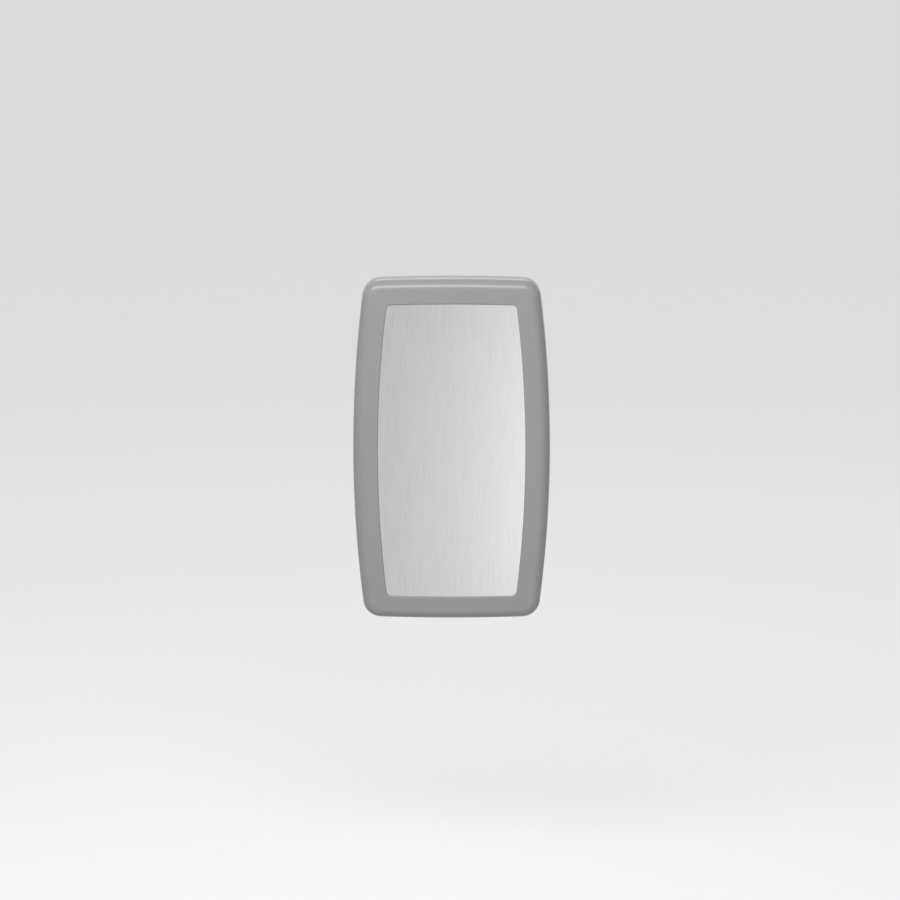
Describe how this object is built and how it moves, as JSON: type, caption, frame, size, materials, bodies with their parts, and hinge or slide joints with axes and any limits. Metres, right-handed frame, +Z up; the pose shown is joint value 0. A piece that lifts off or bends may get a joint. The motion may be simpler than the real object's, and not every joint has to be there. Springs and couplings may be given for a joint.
{
  "type": "baby changing station",
  "caption": "Wall-mounted fold-down baby changing station with a bowed grey plastic frame around a brushed steel panel, a contoured tray, safety strap, liner bin and gas spring.",
  "frame": {"origin": "centre of the mounting plate's back face, on the building wall, at mid height and mid width", "axes": "+Z up, +Y into the wall, so the front faces -Y, and +X to the right as seen from the front"},
  "size_m": [0.516, 0.102, 0.92],
  "materials": {
    "grey_plastic": "fine satin moulded grey",
    "brushed_steel": "vertical brushed grain",
    "zinc_steel": "zinc plated",
    "black_steel": "black paint",
    "chrome": "polished",
    "rubber": "matt black",
    "nylon": "natural",
    "webbing": "woven charcoal webbing",
    "adhesive": "foam tape",
    "black_plastic": "fine satin"
  },
  "bodies": {
    "wall_unit": {"mounting_plate": "zinc_steel", "rear_cover": "grey_plastic", "fixed_hinge_leaf": "zinc_steel", "hinge_pin": "zinc_steel", "leaf_bolt_1": "zinc_steel", "leaf_bolt_2": "zinc_steel", "leaf_bolt_3": "zinc_steel", "leaf_bolt_4": "zinc_steel", "bumper_top_left": "rubber", "bumper_top_right": "rubber", "bumper_bottom_left": "rubber", "bumper_bottom_right": "rubber", "stop_bracket_left": "zinc_steel", "stop_bracket_right": "zinc_steel", "stop_buffer_left": "rubber", "stop_buffer_right": "rubber", "liner_bin": "grey_plastic", "lid_hinge_pin": "zinc_steel", "bag_hook_left": "grey_plastic", "bag_hook_right": "grey_plastic", "spring_anchor": "zinc_steel"},
    "bed": {"bed_outer_shell": "grey_plastic", "front_panel": "brushed_steel", "panel_adhesive": "adhesive", "bed_tray": "grey_plastic", "tray_screw_1": "zinc_steel", "tray_screw_2": "zinc_steel", "tray_screw_3": "zinc_steel", "tray_screw_4": "zinc_steel", "tray_screw_5": "zinc_steel", "tray_screw_6": "zinc_steel", "bed_rail_left": "zinc_steel", "bed_rail_right": "zinc_steel", "bed_crossbar_upper": "zinc_steel", "bed_crossbar_lower": "zinc_steel", "moving_hinge_leaf": "zinc_steel", "spring_crank": "zinc_steel", "strap_left": "webbing", "strap_right": "webbing", "strap_anchor_left": "black_plastic", "strap_anchor_right": "black_plastic", "buckle_body": "black_plastic", "buckle_pin": "zinc_steel"},
    "spring_cylinder": {"cylinder_fitting": "zinc_steel", "cylinder_tube": "black_steel", "cylinder_gland": "nylon"},
    "spring_rod": {"rod_fitting": "zinc_steel", "piston_rod": "chrome", "piston": "nylon"},
    "liner_lid": {"liner_lid": "grey_plastic", "lock_bezel": "chrome"},
    "lock": {"lock_plug": "chrome", "lock_cam": "zinc_steel"},
    "buckle_lever": {"buckle_lever": "black_plastic"}
  },
  "joints": [
    {"name": "bed_hinge", "type": "hinge", "parent": "wall_unit", "child": "bed", "pos_m": [0, -0.05, -0.445], "axis": [1, 0, 0], "range_deg": [0, 90], "stiffness_Nm_per_rad": 12, "springref_deg": -17.19},
    {"name": "spring_cylinder_pivot", "type": "hinge", "parent": "wall_unit", "child": "spring_cylinder", "pos_m": [0.176, -0.03, -0.115], "axis": [1, 0, 0], "range_deg": [-8.2, 0]},
    {"name": "spring_rod_pivot", "type": "hinge", "parent": "bed", "child": "spring_rod", "pos_m": [0.176, -0.03, -0.4234], "axis": [1, 0, 0], "range_deg": [-98.2, 0]},
    {"name": "liner_lid_hinge", "type": "hinge", "parent": "wall_unit", "child": "liner_lid", "pos_m": [0, -0.021, 0.3035], "axis": [-1, 0, 0], "range_deg": [0, 90]},
    {"name": "lock_turn", "type": "hinge", "parent": "liner_lid", "child": "lock", "pos_m": [0, -0.045, 0.283], "axis": [0, -1, 0], "range_deg": [0, 90]},
    {"name": "buckle_lever_hinge", "type": "hinge", "parent": "bed", "child": "buckle_lever", "pos_m": [-0.0124, -0.0658, 0], "axis": [0, 0, 1], "range_deg": [0, 75], "stiffness_Nm_per_rad": 0.05, "springref_deg": -11.46}
  ],
  "couplings": [
    {"joint": "spring_cylinder_pivot", "follows": "bed_hinge", "ratio": -0.08715},
    {"joint": "spring_rod_pivot", "follows": "bed_hinge", "ratio": -1.0872}
  ]
}
